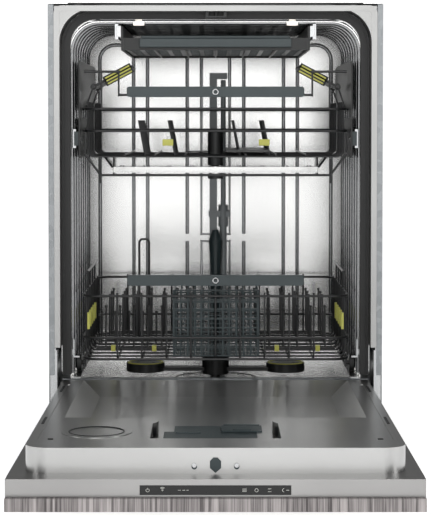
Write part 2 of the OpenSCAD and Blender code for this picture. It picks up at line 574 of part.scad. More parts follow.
// a flat grille w wide and h high, with nx by nz windows
module grille(w, h, t, nx, nz, bar) {
    px = (w - bar) / nx;
    pz = (h - bar) / nz;
    rotate([90, 0, 0]) linear_extrude(t) difference() {
        square([w, h]);
        for (i = [0:nx - 1], k = [0:nz - 1]) translate([bar + i * px, bar + k * pz]) square([px - bar, pz - bar]);
    }
}
module plate_grid(w, l, t, nx, ny, bar = 3) linear_extrude(t) difference() {
    square([w, l]);
    for (i = [0:nx - 1], k = [0:ny - 1]) translate([bar + i * (w - bar) / nx, bar + k * (l - bar) / ny])
        square([(w - bar) / nx - bar, (l - bar) / ny - bar]);
}
module cutlery_basket() color("darkslategray") {
    t = 2;
    g = weld_gap;
    y0 = rack_y0 + 12;
    l = basket_y1 - y0 - 2 * t - 2 * g;
    h = basket_h - t - g;
    for (y = [y0 + t, basket_y1]) translate([-basket_x, y, basket_z]) grille(2 * basket_x, basket_h, t, 12, 7, 2.4);
    for (x = [-basket_x, basket_x - t]) translate([x + t, y0 + t + g, basket_z]) rotate([0, 0, 90])
        mirror([0, 1, 0]) translate([0, t, 0]) grille(l, basket_h, t, 10, 7, 2.4);
    translate([-basket_x + t + g, y0 + t + g, basket_z]) plate_grid(2 * (basket_x - t - g), l, t, 8, 6);
    box(-1.5, 1.5, y0 + t + g, basket_y1 - t - g, basket_z + t + g, basket_z + h);
}

// ---- door ----
module yz_prism(pts, x0, x1) translate([x0, 0, 0]) rotate([90, 0, 90]) linear_extrude(x1 - x0) polygon(pts);
recess_z = liner_z1 - 21;
recess_y = -371;
plateau_top = liner_z1;
pocket_y = -554;
vent_p = [-179, -500];
vent_r = 40.5;
module liner_recess() intersection() {
    yz_prism([[liner_back + 1, plateau_top + 0.5], [liner_back - 61, recess_z], [recess_y, recess_z],
        [recess_y, plateau_top + 1], [liner_back + 1, plateau_top + 1]], -300, 300);
    translate([0, liner_back + 1, 0]) rotate([90, 0, 0]) linear_extrude(600)
        polygon([[-240, plateau_top + 1], [240, plateau_top + 1], [205, recess_z - 0.01], [-205, recess_z - 0.01]]);
}
module door_liner() color("gainsboro") {
    difference() {
        union() {
            translate([0, (liner_front + 40) / 2 - 20, liner_z0]) plate(2 * liner_x, -liner_front, liner_h, 35);
            box(-liner_x, liner_x, liner_front / 2, liner_back, liner_z0, liner_z1);
        }
        liner_recess();
        difference() {
            box(-97, 97, pocket_y, recess_y + 1, recess_z, liner_z1 + 1);
            both() translate([125, recess_y - 30, recess_z - 1]) cylinder(h = 40, r = 36);
        }
        // hollow underside
        box(-liner_x + 2, liner_x - 2, liner_front + 24, liner_back - 2, liner_z0 - 1, recess_z - 2);
        both() box(241, liner_x - 2, liner_front + 34, liner_back - 2, liner_z0 - 1, liner_z1 - 2);
        both() box(99, 242, liner_front + 34, recess_y - 2, liner_z0 - 1, liner_z1 - 2);
        translate([vent_p.x, vent_p.y, liner_z0]) cylinder(h = 50, r = vent_r + 0.3);
        both() box(258, 262, -560, -20, liner_z1 - 1, liner_z1 + 1);
    }
    translate([vent_p.x, vent_p.y, liner_z1 - 2.1]) difference() {
        cylinder(h = 2.9, r = vent_r + 13);
        translate([0, 0, -1]) cylinder(h = 5, r = vent_r + 0.3);
    }
}
module door_shell() color("silver") difference() {
    box(-half_w, half_w, -door_l + 18, door_back, shell_z0, liner_z0);
    box(-half_w + 1.5, half_w - 1.5, -door_l + 19.5, door_back - 1.5, shell_z0 + 1.5, liner_z0 - 1.5);
    box(-liner_x + 30, liner_x - 30, liner_front + 60, -60, liner_z0 - 5, liner_z0 + 1);
}
display_hw = 107;
module fascia() color("lightgray") difference() {
    box(-half_w, half_w, -door_l, -door_l + 18, shell_z0, liner_z0);
    box(-half_w + 2, half_w - 2, -door_l + 2.5, -door_l + 19, shell_z0 + 2, liner_z0 - 2);
    box(-display_hw, display_hw, -door_l - 1, -door_l + 1.2, shell_z0 + 3.5, shell_z0 + 17);
}
module display_strip() color("black")
    box(-display_hw, display_hw, -door_l + 0.2, -door_l + 1.2, shell_z0 + 3.5, shell_z0 + 17);
module furniture_panel() color("rosybrown") box(-half_w, half_w, -door_l - 10, door_back, wood_z0, shell_z0);
disp_z = recess_z + 14;
module dispenser_body() color("darkslategray") difference() {
    box(-85, 85, -542, -408, recess_z, disp_z);
    box(-74, -8, -534, -480, recess_z + 3, disp_z + 1);
    box(8, 72, -470, -424, disp_z - 6, disp_z + 1);
    translate([40, -447, recess_z + 2]) cylinder(h = 20, r = 14);
    both() box(77, 86, -542, -500, disp_z - 4, disp_z + 1);
}
module detergent_lid() color("darkslategray") {
    box(-78, -4, -537, -477, disp_z + 0.3, disp_z + 3.3);
    box(-60, -22, -492, -484, disp_z + 3.3, disp_z + 5);
}
rinse_y = -420;
rinse_z = disp_z + 2.6;
module rinse_aid_lid() color("darkslategray") {
    box(9, 71, -468, rinse_y, disp_z + 0.3, disp_z + 3.3);
    translate([12, rinse_y, rinse_z]) rotate([0, 90, 0]) cylinder(h = 56, r = 2);
    box(26, 54, -466, -460, disp_z + 3.3, disp_z + 5);
}
module vent_cap() color("silver") translate([vent_p.x, vent_p.y, 0]) {
    translate([0, 0, liner_z1 - 22]) cylinder(h = 22.2, r = vent_r - 4);
    translate([0, 0, liner_z1 - 1.8]) cylinder(h = 2, r = vent_r);
}
// lock shield and the screws of the liner's front face
module door_lock() color("darkslategray") {
    translate([0, liner_front, hinge_z - 8]) rotate([90, 0, 0]) linear_extrude(2)
        polygon([[-8, -4], [0, -11], [8, -4], [8, 6], [3, 11], [-3, 11], [-8, 6]]);
    both() translate([30.4, liner_front, hinge_z - 10]) rotate([90, 0, 0]) difference() {
        cylinder(h = 1.8, r = 4);
        translate([0, 0, 1]) cylinder(h = 2, r = 1.6, $fn = 6);
    }
}
// arms between the door sides and the hinge pins
module hinge_arms() color("silver") both() difference() {
    union() {
        translate([liner_x, hinge_y, hinge_z]) rotate([0, 90, 0]) cylinder(h = 6, r = 12);
        box(liner_x, liner_x + 6, -50, hinge_y, hinge_z - 12, hinge_z + 8);
    }
    translate([liner_x + 1.2, hinge_y, hinge_z]) rotate([0, 90, 0]) cylinder(h = 8, r = hinge_pin_r + run_c);
}

base_pan();
levelling_feet();
side_panel_left();
side_panel_right();
top_frame();
rear_cover();
toe_plate();
tub();
front_flange();
door_gasket();
sill();
latch_striker();
tub_lamps();
hinge_brackets();
sump();
filter_plate();
filter_cup();
wash_pump();
drain_pump();
inlet_valve();
softener_tank();
salt_cap();
supply_tube();
jet_tower();
lower_spray_arm();
upper_rail_tracks();
upper_rail_slides();
tray_rail_tracks();
tray_rail_slides();
tray_frame();
tray_bins();
tray_handle();
height_adjusters();
upper_rack_wires();
upper_rack_handle();
upper_spray_hub();
upper_spray_arm();
cup_shelf_left();
cup_shelf_right();
glass_tines();
lower_rack_wires();
lower_rack_handle();
plate_tines_fixed();
plate_tines_left();
plate_tines_right();
tine_clips();
rack_front_wheels();
rack_rear_wheels();
cutlery_basket();
door_liner();
door_shell();
fascia();
display_strip();
furniture_panel();
dispenser_body();
detergent_lid();
rinse_aid_lid();
vent_cap();
door_lock();
hinge_arms();
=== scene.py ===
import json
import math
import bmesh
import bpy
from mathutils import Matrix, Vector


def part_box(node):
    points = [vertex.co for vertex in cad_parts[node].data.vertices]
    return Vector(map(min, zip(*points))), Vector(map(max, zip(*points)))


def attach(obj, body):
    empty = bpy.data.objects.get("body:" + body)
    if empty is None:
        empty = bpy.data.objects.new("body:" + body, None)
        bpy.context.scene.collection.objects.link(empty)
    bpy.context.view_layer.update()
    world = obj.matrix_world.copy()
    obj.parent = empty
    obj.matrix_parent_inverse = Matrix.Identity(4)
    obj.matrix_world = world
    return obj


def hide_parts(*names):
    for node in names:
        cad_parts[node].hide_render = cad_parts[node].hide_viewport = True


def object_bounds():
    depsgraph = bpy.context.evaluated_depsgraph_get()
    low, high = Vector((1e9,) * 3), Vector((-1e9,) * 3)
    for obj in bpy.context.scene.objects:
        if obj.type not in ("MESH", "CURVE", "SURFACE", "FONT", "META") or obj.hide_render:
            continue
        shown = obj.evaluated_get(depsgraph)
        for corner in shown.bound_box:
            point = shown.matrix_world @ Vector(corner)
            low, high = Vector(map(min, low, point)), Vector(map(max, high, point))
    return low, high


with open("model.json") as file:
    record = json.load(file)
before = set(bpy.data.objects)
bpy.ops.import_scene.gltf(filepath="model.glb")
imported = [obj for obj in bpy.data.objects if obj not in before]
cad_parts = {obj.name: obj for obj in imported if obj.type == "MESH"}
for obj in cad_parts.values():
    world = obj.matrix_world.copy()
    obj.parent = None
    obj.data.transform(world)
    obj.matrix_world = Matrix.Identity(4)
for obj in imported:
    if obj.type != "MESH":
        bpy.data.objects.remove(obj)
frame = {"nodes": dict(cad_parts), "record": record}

# %% [markdown]
# # A built-in dishwasher with its door open
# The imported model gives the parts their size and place. This lesson adds a camera, light, soft edges and
# finishes.
# A part that already has the right shape only gets a material. A part whose edges are pressed or moulded
# is copied, and the copy gets rounded edges.

cad_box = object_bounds()
nodes = frame["nodes"]
body_of_node = {node: body for body, held in frame["record"]["behaviour"]["bodies"].items() for node in held}
MM = 0.001
print("parts:", len(nodes), "size in metres:", [round(h - l, 3) for l, h in zip(*cad_box)])

# %% [markdown]
# ## Camera
# A long lens far away keeps the verticals nearly parallel, as in a catalogue picture. A lens shift looks
# down without tilting, and a little real tilt shares the work, so the shift stays small.

# %% Camera
CABINET_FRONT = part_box("front_flange")[0][1]
CAMERA_DISTANCE = 3.15
CAMERA_HEIGHT = 0.606
LENS_MM = 123.7
TILT = math.radians(2.27)
camera_data = bpy.data.cameras.new("camera")
camera_data.lens = LENS_MM
camera_data.shift_y = -0.130
camera_data.clip_end = 50
camera = bpy.data.objects.new("camera", camera_data)
camera.location = (0, CABINET_FRONT - CAMERA_DISTANCE, CAMERA_HEIGHT)
camera.rotation_euler = (math.pi / 2 - TILT, 0, 0)
bpy.context.collection.objects.link(camera)
bpy.context.scene.camera = camera
print("camera", [round(v, 3) for v in camera.location])

# %% [markdown]
# ## How the finishes are made
# Each finish is one node material. Colours are written as sRGB hex and turned to linear light by one
# function. One helper adds a node, sets it and links it. Patterns use the object's own metres.

# %% Helpers for finishes


def linear(code):
    parts = [int(code[i:i + 2], 16) / 255 for i in (1, 3, 5)]
    return [p / 12.92 if p <= 0.04045 else ((p + 0.055) / 1.055) ** 2.4 for p in parts] + [1]


def add(tree, kind, settings=None, **inputs):
    """Adds one node. Input names use _ for a space, and a number picks an input by its place."""
    node = tree.nodes.new("ShaderNode" + kind)
    for key, value in (settings or {}).items():
        setattr(node, key, value)
    for key, value in inputs.items():
        socket = node.inputs[int(key[1:])] if key[1:].isdigit() else node.inputs[key.replace("_", " ")]
        if isinstance(value, bpy.types.NodeSocket):
            tree.links.new(value, socket)
        else:
            socket.default_value = value
    return node


def finish(name, **shader):
    """A new material: returns it, its tree, its shader and a socket with the place in metres."""
    material = bpy.data.materials.new(name)
    material.use_nodes = True
    tree = material.node_tree
    surface = tree.nodes["Principled BSDF"]
    for key, value in shader.items():
        surface.inputs[key.replace("_", " ")].default_value = value
    place = add(tree, "TexCoord").outputs["Object"]
    return material, tree, surface, place


def per_metre(size_mm):
    """Texture scale for a pattern whose features are size_mm apart."""
    return 1 / (size_mm * MM)


def stretch(tree, place, x, y, z):
    return add(tree, "Mapping", i0=place, i3=(x, y, z)).outputs[0]


def colour_between(tree, amount, low, high):
    ramp = add(tree, "ValToRGB", i0=amount)
    ramp.color_ramp.elements[0].color = linear(low)
    ramp.color_ramp.elements[1].color = linear(high)
    return ramp.outputs["Color"]


def number_between(tree, amount, low, high):
    return add(tree, "MapRange", i0=amount, i3=low, i4=high).outputs[0]


def noise(tree, place, size_mm, detail=3.0):
    return add(tree, "TexNoise", Vector=place, Scale=per_metre(size_mm), Detail=detail).outputs["Fac"]


def bump(tree, surface, height, depth_mm, strength=0.5):
    node = add(tree, "Bump", Height=height, Strength=strength, Distance=depth_mm * MM)
    tree.links.new(node.outputs["Normal"], surface.inputs["Normal"])

# %% [markdown]
# ## Floor and light
# A pale matt floor takes a soft shadow. Stainless steel shows what it mirrors, so the room is grey and the
# panels are white: one high in front, one low in front and one at each side. The paper behind is white.

# %% Floor and light
STUDIO_SIZE = 14
floor_mesh = bpy.data.meshes.new("floor")
floor_mesh.from_pydata([(x, y, 0) for x, y in ((-1, -1), (1, -1), (1, 1), (-1, 1))], [], [(0, 1, 2, 3)])
floor = bpy.data.objects.new("floor", floor_mesh)
floor.scale = (STUDIO_SIZE, STUDIO_SIZE, 1)
floor.location.z = cad_box[0][2] - 0.0005
bpy.context.collection.objects.link(floor)


def panel_light(name, place, aim, size, watts):
    data = bpy.data.lights.new(name, "AREA")
    data.shape = "RECTANGLE"
    data.size, data.size_y = size
    data.energy = watts
    light = bpy.data.objects.new(name, data)
    light.location = place
    light.rotation_euler = (Vector(aim) - Vector(place)).to_track_quat("-Z", "Y").to_euler()
    bpy.context.collection.objects.link(light)


panel_light("front_panel", (0, -3.6, 2.4), (0, 0.2, 0.4), (2.6, 1.3), 38)
panel_light("left_panel", (-2.6, -1.6, 1.5), (0, 0, 0.4), (0.9, 2.0), 16)
panel_light("right_panel", (2.6, -1.6, 1.5), (0, 0, 0.4), (0.9, 2.0), 24)
panel_light("low_front_panel", (0, -3.9, 0.95), (0, 0.0, 0.3), (2.4, 1.1), 20)
world = bpy.data.worlds.new("studio")
bpy.context.scene.world = world
world.use_nodes = True
sky = world.node_tree
height = add(sky, "SeparateXYZ", i0=add(sky, "TexCoord").outputs["Generated"]).outputs["Z"]
room = add(sky, "Background", i0=colour_between(sky, height, "#8a8a8a", "#f4f4f4"), i1=0.46)
paper = add(sky, "Background", i0=(1, 1, 1, 1), i1=1.05)
seen = add(sky, "MixShader", i0=add(sky, "LightPath").outputs["Is Camera Ray"], i1=room.outputs[0],
           i2=paper.outputs[0])
sky.links.new(seen.outputs[0], sky.nodes["World Output"].inputs["Surface"])
bpy.context.scene.view_settings.view_transform = "Standard"

# %% [markdown]
# ## Steel
# The tub and door liner are 18/10 stainless sheet, cold rolled and pressed. Rolling leaves short grain
# that blurs reflections along one way; pressing leaves slow waves. The fascia is brushed with a belt, so
# its grain is long and straight. Hidden panels are hot-dip galvanised, with zinc crystals.


# %% Steel finishes
def steel(name, low, high, rough, grain_mm, grain_axis, grain_long=60):
    material, tree, surface, place = finish(name, Metallic=1.0)
    scales = [1.0, 1.0, 1.0]
    scales["xyz".index(grain_axis)] = 1 / grain_long
    grain = noise(tree, stretch(tree, place, *scales), grain_mm)
    waves = noise(tree, place, 180, 1.0)
    tree.links.new(colour_between(tree, waves, low, high), surface.inputs["Base Color"])
    tree.links.new(number_between(tree, grain, rough - 0.03, rough + 0.03), surface.inputs["Roughness"])
    bump(tree, surface, grain, 0.002, 0.04)
    return material


pressed_stainless = steel("cold_rolled_stainless_pressed", "#cfcfce", "#e6e6e5", 0.24, 1.4, "z")
# The beads' steel is darker than the tub's: painted shade and reflection, so they read as dark lines.
bead_stainless_painted_shade = steel("cold_rolled_stainless_bead_painted_shade", "#828384", "#a2a3a4", 0.26, 1.4, "z")
liner_stainless = steel("cold_rolled_stainless_liner", "#acacab", "#bcbcbb", 0.30, 1.4, "y")
brushed_stainless = steel("belt_brushed_stainless", "#929190", "#a7a6a5", 0.36, 0.8, "x", 200)
flange_stainless = steel("flange_stainless", "#959594", "#adadac", 0.34, 0.9, "z")
spray_stainless = steel("spray_arm_stainless", "#c0c0bf", "#dededd", 0.22, 0.8, "x")
chromed_rail = steel("zinc_plated_rail", "#9a9c9d", "#c0c1c2", 0.24, 1.5, "y")


def galvanised():
    material, tree, surface, place = finish("hot_dip_galvanised_steel", Metallic=1.0)
    crystals = add(tree, "TexVoronoi", Vector=place, Scale=per_metre(12)).outputs["Color"]
    grey = add(tree, "RGBToBW", i0=crystals).outputs[0]
    tree.links.new(colour_between(tree, grey, "#7d8082", "#9a9d9f"), surface.inputs["Base Color"])
    tree.links.new(number_between(tree, grey, 0.32, 0.5), surface.inputs["Roughness"])
    return material


zinc_sheet = galvanised()
print("steel finishes:", [m.name for m in bpy.data.materials])

# %% [markdown]
# ## Plastics, rubber and coated wire
# Moulded polypropylene has a spark-eroded grain of about half a millimetre: drawn as fine bump it softens
# highlights. The racks are steel wire dipped in nylon, smooth with slight runs. The gasket is EPDM.


# %% Plastic finishes
def moulded(name, low, high, rough, grain_mm=0.6, depth_mm=0.03, ior=1.49, coat=0.0):
    material, tree, surface, place = finish(name, IOR=ior, Coat_Weight=coat, Coat_Roughness=0.2)
    grain = noise(tree, place, grain_mm)
    flow = noise(tree, place, 45, 2.0)
    tree.links.new(colour_between(tree, flow, low, high), surface.inputs["Base Color"])
    tree.links.new(number_between(tree, grain, rough - 0.07, rough + 0.07), surface.inputs["Roughness"])
    bump(tree, surface, grain, depth_mm, 0.4)
    return material


slate_pp = moulded("slate_polypropylene_moulded", "#2e3638", "#394345", 0.46)
dark_slate_pp = moulded("dark_slate_polypropylene", "#233033", "#2e3a3c", 0.4)
black_pp = moulded("black_polypropylene_moulded", "#0f1010", "#1a1c1c", 0.42)
white_pp = moulded("white_polypropylene_moulded", "#d8d8d2", "#e6e6e0", 0.4)
grey_pp = moulded("grey_polypropylene_tube", "#74797b", "#8b9092", 0.35)
lime_pp = moulded("yellow_green_polypropylene", "#b5b44c", "#cfce68", 0.38)
nylon_wire = moulded("nylon_dipped_wire", "#151617", "#222324", 0.34, 2.5, 0.05, 1.53)
epdm = moulded("epdm_rubber_extruded", "#171717", "#262626", 0.55, 0.8, 0.04, 1.5)
display_glass = moulded("black_display_glass", "#0b0b0b", "#121212", 0.3, 3, 0.002, 1.45)


def lens():
    material, tree, surface, place = finish("lamp_lens_polycarbonate", IOR=1.58, Emission_Strength=0.8)
    ribs = add(tree, "TexWave", {"wave_type": "RINGS"}, Vector=place, Scale=per_metre(3)).outputs["Fac"]
    surface.inputs["Emission Color"].default_value = linear("#fff6e8")
    tree.links.new(colour_between(tree, ribs, "#e8e8e4", "#ffffff"), surface.inputs["Base Color"])
    bump(tree, surface, ribs, 0.2)
    return material


def veneer():
    material, tree, surface, place = finish("grey_oak_veneer_lacquered", IOR=1.5)
    broad = noise(tree, stretch(tree, place, 1, 1 / 40, 1 / 40), 5, 2)
    pores = noise(tree, stretch(tree, place, 1, 1 / 80, 1 / 80), 1.4, 3)
    mix = add(tree, "Math", {"operation": "ADD"}, i0=broad, i1=pores).outputs[0]
    grain = add(tree, "MapRange", i0=mix, i1=0.74, i2=1.26).outputs[0]
    tree.links.new(colour_between(tree, grain, "#423d3d", "#a8a2a1"), surface.inputs["Base Color"])
    tree.links.new(number_between(tree, pores, 0.45, 0.65), surface.inputs["Roughness"])
    bump(tree, surface, pores, 0.15)
    return material


lamp_lens = lens()
oak_veneer = veneer()
print("finishes:", len(bpy.data.materials))

# %% [markdown]
# ## Giving each part its finish
# The list goes from finish to the parts that have it, as a parts list would.

# %% Finishes on the parts
FINISHED = {
    pressed_stainless: ["tub", "top_frame", "filter_plate"],
    flange_stainless: ["front_flange"],
    liner_stainless: ["door_liner", "vent_cap"],
    brushed_stainless: ["fascia", "door_shell"],
    spray_stainless: ["upper_spray_arm"],
    chromed_rail: ["upper_rail_tracks", "tray_rail_tracks", "tray_rail_slides", "hinge_brackets",
                   "hinge_arms"],
    zinc_sheet: ["side_panel_left", "side_panel_right", "rear_cover", "toe_plate", "sill"],
    epdm: ["door_gasket"],
    slate_pp: ["upper_rack_handle", "lower_rack_handle", "tray_handle", "upper_rail_slides"],
    dark_slate_pp: ["tray_bins", "cutlery_basket", "dispenser_body", "detergent_lid", "rinse_aid_lid",
                    "door_lock", "jet_tower"],
    black_pp: ["base_pan", "levelling_feet", "latch_striker", "sump", "filter_cup", "drain_pump",
               "height_adjusters", "upper_spray_hub", "lower_spray_arm", "cup_shelf_left", "cup_shelf_right",
               "rack_front_wheels", "rack_rear_wheels", "salt_cap", "wash_pump", "tray_frame"],
    white_pp: ["inlet_valve", "softener_tank"],
    grey_pp: ["supply_tube"],
    nylon_wire: ["upper_rack_wires", "lower_rack_wires", "plate_tines_fixed", "plate_tines_left",
                 "plate_tines_right", "glass_tines"],
    lime_pp: ["tine_clips"],
    lamp_lens: ["tub_lamps"],
    display_glass: ["display_strip"],
    oak_veneer: ["furniture_panel"],
}
finish_of = {node: material for material, held in FINISHED.items() for node in held}
for node, material in finish_of.items():
    nodes[node].data.materials.clear()
    nodes[node].data.materials.append(material)
print("without a finish:", sorted(set(nodes) - set(finish_of)))

# %% [markdown]
# ## Soft edges
# Sheet steel is bent round a radius, and a mould can't make a sharp corner. A thin bright line along each
# edge is what tells the eye that a thing is real. Each copy is cleaned to flat faces, then bevelled.

# %% Soft copies of the parts


def ride(piece, body):
    """Puts a new piece in the scene and on its body."""
    bpy.context.collection.objects.link(piece)
    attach(piece, body)
    return piece


WELD_WITHIN = 2e-6
FLAT_WITHIN = math.radians(1.5)
BEVEL_FROM = math.radians(22)


def softened(node, radius_mm, segments=3):
    """A copy of one node with its flat faces joined and its sharp edges rounded."""
    mesh = nodes[node].data.copy()
    work = bmesh.new()
    work.from_mesh(mesh)
    bmesh.ops.remove_doubles(work, verts=work.verts, dist=WELD_WITHIN)
    bmesh.ops.dissolve_limit(work, angle_limit=FLAT_WITHIN, verts=work.verts, edges=work.edges)
    for face in work.faces:
        face.smooth = True
    work.to_mesh(mesh)
    work.free()
    piece = ride(bpy.data.objects.new(node + "_soft", mesh), body_of_node[node])
    edge = piece.modifiers.new("edge", "BEVEL")
    edge.width = radius_mm * MM
    edge.segments = segments
    edge.limit_method = "ANGLE"
    edge.angle_limit = BEVEL_FROM
    flat = piece.modifiers.new("flat", "WEIGHTED_NORMAL")
    flat.weight = 100
    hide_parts(node)
    return piece


SOFT = {"door_liner": 2.5, "dispenser_body": 1.2, "detergent_lid": 1.5, "rinse_aid_lid": 1.5, "fascia": 1.2,
        "upper_rack_handle": 2.5, "lower_rack_handle": 2.5, "tray_handle": 2.5, "vent_cap": 0.6,
        "furniture_panel": 0.8, "door_lock": 0.5, "jet_tower": 1.5, "upper_spray_arm": 1.5,
        "lower_spray_arm": 2.0, "upper_spray_hub": 1.2, "latch_striker": 1.0}
for node, radius_mm in SOFT.items():
    softened(node, radius_mm)
print("softened:", len(SOFT))

# %% [markdown]
# ## Pressed beads of the tub
# A tub is stiffened with half-round beads pressed into its wall: rings along the depth, and two loops on the
# back wall. A round bead catches a bright line on one flank and a dark one on the other. Round rods sunk in
# the sheet stand for the beads, so they also show on the outside, where the real sheet has grooves. Their
# steel is darker than the tub's: painted shade and reflection, so the beads read as dark lines.

# %% Beads
SHEET = 1.5 * MM
BEAD_RADIUS = 4.3 * MM
CORNER = 52 * MM
inner = [v.co for v in nodes["tub"].data.vertices if v.co.y > CABINET_FRONT + 0.10]
WALL_X = max(p.x for p in inner) - SHEET
WALL_TOP = max(p.z for p in inner) - SHEET
WALL_BACK = max(p.y for p in inner) - SHEET
WHEEL_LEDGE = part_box("sill")[1][2] + 4 * MM


def tubes(name, paths, radius, material, body, closed=False):
    """One piece made of round rods or beads along the given paths."""
    curve = bpy.data.curves.new(name, "CURVE")
    curve.dimensions = "3D"
    curve.bevel_depth = radius
    curve.bevel_resolution = 3
    curve.use_fill_caps = True
    for path in paths:
        line = curve.splines.new("POLY")
        line.points.add(len(path) - 1)
        line.use_cyclic_u = closed
        for point, place in zip(line.points, path):
            point.co = (*place, 1)
    curve.materials.append(material)
    return ride(bpy.data.objects.new(name, curve), body)


def arch_path(half, low, top, radius, y):
    """Up one wall, round the two upper corners and down the other wall."""
    turn = [math.radians(7.5 * i) for i in range(13)]
    right = [(half - radius + radius * math.cos(a), y, top - radius + radius * math.sin(a)) for a in turn]
    left = [(-x, y, z) for x, _, z in reversed(right)]
    return [(half, y, low)] + right + left + [(-half, y, low)]


RING_COUNT = 7
ring_pitch = (WALL_BACK - CABINET_FRONT - 0.090) / RING_COUNT
ring_at = [CABINET_FRONT + 0.078 + i * ring_pitch for i in range(RING_COUNT)] + [WALL_BACK - 0.026]
low_end = WHEEL_LEDGE + 3 * MM
tubes("tub_ring_beads", [arch_path(WALL_X, low_end, WALL_TOP, CORNER, y) for y in ring_at], BEAD_RADIUS,
      bead_stainless_painted_shade, "cabinet")
BACK_LOW, LOOP_TOP, LOOP_NEXT = WALL_TOP - 0.633, WALL_TOP - 0.426, WALL_TOP - 0.411
BACK_TOP = WALL_TOP - 0.030
straight = [[(x, WALL_BACK, BACK_LOW), (x, WALL_BACK, BACK_TOP)] for x in (-0.1686, -0.140, 0.140, 0.1686)]
halves = [[(x, WALL_BACK, low), (x, WALL_BACK, high)] for x in (-0.0583, 0.0583)
          for low, high in ((BACK_LOW, LOOP_TOP), (LOOP_NEXT, BACK_TOP))]
LOOP_HALF = 0.029
loops = [[(-LOOP_HALF, WALL_BACK, far), (-LOOP_HALF, WALL_BACK, near),
          (LOOP_HALF, WALL_BACK, near), (LOOP_HALF, WALL_BACK, far)]
         for far, near in ((BACK_LOW, LOOP_TOP), (BACK_TOP, LOOP_NEXT))]
frame_bead = arch_path(WALL_X - 0.0235, low_end, WALL_TOP - 0.022, CORNER - 0.020, WALL_BACK)
tubes("back_wall_beads", straight + halves + loops + [frame_bead], BEAD_RADIUS * 0.9, bead_stainless_painted_shade,
      "cabinet")
print("inner width", round(2 * WALL_X, 4), "rings at", [round(y, 3) for y in ring_at])

# %% [markdown]
# ## Small parts
# These are too small to matter for strength or contact, so they are added here: the marks of the display,
# coloured bars on the cup shelves, rings on the spray heads, nozzles and the shadow gap round the vent.
# Three small functions make them: blocks, circles and the round tubes above.

# %% Blocks and discs


def blocks(name, boxes, material, body, turn=None, soft_mm=0.4):
    """One piece made of blocks, each (low corner, high corner). turn maps a point to its place."""
    work = bmesh.new()
    for low, high in boxes:
        corners = [Vector((x, y, z)) for z in (low[2], high[2])
                   for y in (low[1], high[1]) for x in (low[0], high[0])]
        made = [work.verts.new(turn(c) if turn else c) for c in corners]
        for face in ((0, 2, 3, 1), (4, 5, 7, 6), (0, 1, 5, 4), (2, 6, 7, 3), (0, 4, 6, 2), (1, 3, 7, 5)):
            work.faces.new([made[i] for i in face])
    bmesh.ops.recalc_face_normals(work, faces=work.faces)
    mesh = bpy.data.meshes.new(name)
    work.to_mesh(mesh)
    work.free()
    mesh.materials.append(material)
    piece = ride(bpy.data.objects.new(name, mesh), body)
    edge = piece.modifiers.new("edge", "BEVEL")
    edge.width = soft_mm * MM
    edge.segments = 2
    return piece


def circle(centre, radius, flat="z", steps=32):
    """Points of a circle that lies flat across the named axis."""
    ring = []
    for i in range(steps):
        u, v = radius * math.cos(math.tau * i / steps), radius * math.sin(math.tau * i / steps)
        across = {"z": (u, v, 0), "y": (u, 0, v), "x": (0, u, v)}[flat]
        ring.append([c + d for c, d in zip(centre, across)])
    return ring


# %% [markdown]
# ## Cup shelves
# A folding shelf has a dark comb at its front end, with coloured bars in it. Both are moulded
# polypropylene. The shelf slopes, so a function turns a place along the slope into a place in the room.

# %% Cup shelves
for side, body in ((-1, "shelf_left"), (1, "shelf_right")):
    low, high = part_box("cup_shelf_left" if side < 0 else "cup_shelf_right")
    pivot = (low[0] + 0.006 if side < 0 else high[0] - 0.006, low[2] + 0.006)
    slope = math.radians(28)

    def on_slope(p):
        """p.x runs from the pivot up the slope and p.z is the height above the shelf."""
        along, above = p.x, p.z
        return Vector((pivot[0] - side * (along * math.cos(slope) - above * math.sin(slope)), p.y,
                       pivot[1] + along * math.sin(slope) + above * math.cos(slope)))

    front = low[1]
    name = "left" if side < 0 else "right"
    comb = [((0.022, front, -0.011), (0.079, front + 0.004, 0.0075))]
    blocks(f"cup_shelf_comb_{name}", comb, black_pp, body, on_slope, 0.8)
    bars = [((0.026, front - 0.002, z), (0.076, front + 0.001, z + 0.0028)) for z in (-0.009, -0.0035, 0.002)]
    blocks(f"cup_shelf_bars_{name}", bars, lime_pp, body, on_slope)
print("cup shelves done")

# %% [markdown]
# ## Spray heads and nozzles
# The lower arm has a coloured ring round each head, and the upper arm has a row of nozzles. A closed
# round tube makes a ring, and a very short one makes a nozzle.

# %% Spray heads and nozzles
low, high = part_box("lower_spray_arm")
arm_y, arm_top = (low[1] + high[1]) / 2, low[2] + 0.0195
head_x = high[0] - 0.037
head_rings = [circle((s * head_x, arm_y, arm_top), 0.0325) for s in (-1, 1)]
tubes("lower_arm_head_rings", head_rings, 3.2 * MM, lime_pp, "lower_arm", closed=True)
low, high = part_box("upper_spray_arm")
nozzles = [(x * MM, arm_y + 0.005, high[2] - 0.006) for x in range(-180, 181, 45) if x]
tubes("upper_arm_nozzles", [[n, (n[0], n[1], n[2] + 0.004)] for n in nozzles], 2.2 * MM, lime_pp, "upper_arm")
print("nozzles:", len(nozzles))

# %% [markdown]
# ## Marks on the display
# The printed marks are plain arcs and dashes that belong to no maker. Thin white tubes, partly sunk in the
# glass, draw them.

# %% Marks on the display
low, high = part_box("display_strip")
mark_y, mark_z = low[1] - 0.0002, (low[2] + high[2]) / 2


def arc(x, radius, start, stop, steps=14):
    angles = [math.radians(start + (stop - start) * i / steps) for i in range(steps + 1)]
    return [(x + radius * math.cos(a), mark_y, mark_z + radius * math.sin(a)) for a in angles]


def dash(x, width, up=0.0):
    return [(x, mark_y, mark_z + up), (x + width, mark_y, mark_z + up)]


# place along the strip and radius in millimetres, then the first and last angle
mm_arc = [(-96, 2.4, 125, 415), (-75, 4.2, 45, 135), (-75, 2.6, 45, 135), (-75, 0.8, 0, 360),
          (58, 2.4, 0, 360), (97, 2.4, 90, 270)]
marks = [arc(x * MM, r * MM, a, b) for x, r, a, b in mm_arc]
marks += [[(-0.096, mark_y, mark_z + 0.0006), (-0.096, mark_y, mark_z + 0.0034)]]
